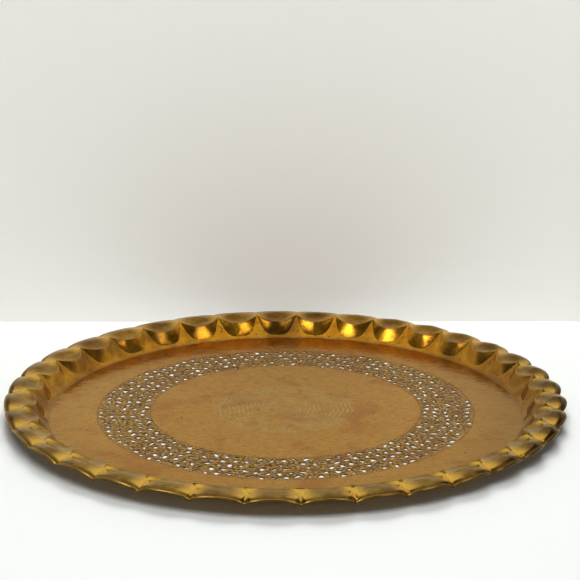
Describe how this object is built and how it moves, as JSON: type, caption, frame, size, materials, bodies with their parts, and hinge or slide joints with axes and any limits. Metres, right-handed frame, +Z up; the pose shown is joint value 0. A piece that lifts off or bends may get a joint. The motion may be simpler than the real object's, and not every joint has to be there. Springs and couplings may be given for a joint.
{
  "type": "serving tray",
  "caption": "Round raised-brass serving tray with a flat pierced floor, a pinched scalloped rim and a wired edge.",
  "frame": {"origin": "centre of the underside of the floor, which the tray stands on", "axes": "+Z up out of the tray's open side, along the tray's axis"},
  "size_m": [0.5998, 0.5998, 0.0242],
  "materials": {
    "sheet_brass": "hand worked sheet brass, satin, worn and lightly tarnished",
    "iron_wire": "plain drawn iron wire"
  },
  "bodies": {
    "root": {"tray_sheet": "sheet_brass", "rim_wire": "iron_wire"}
  },
  "joints": []
}
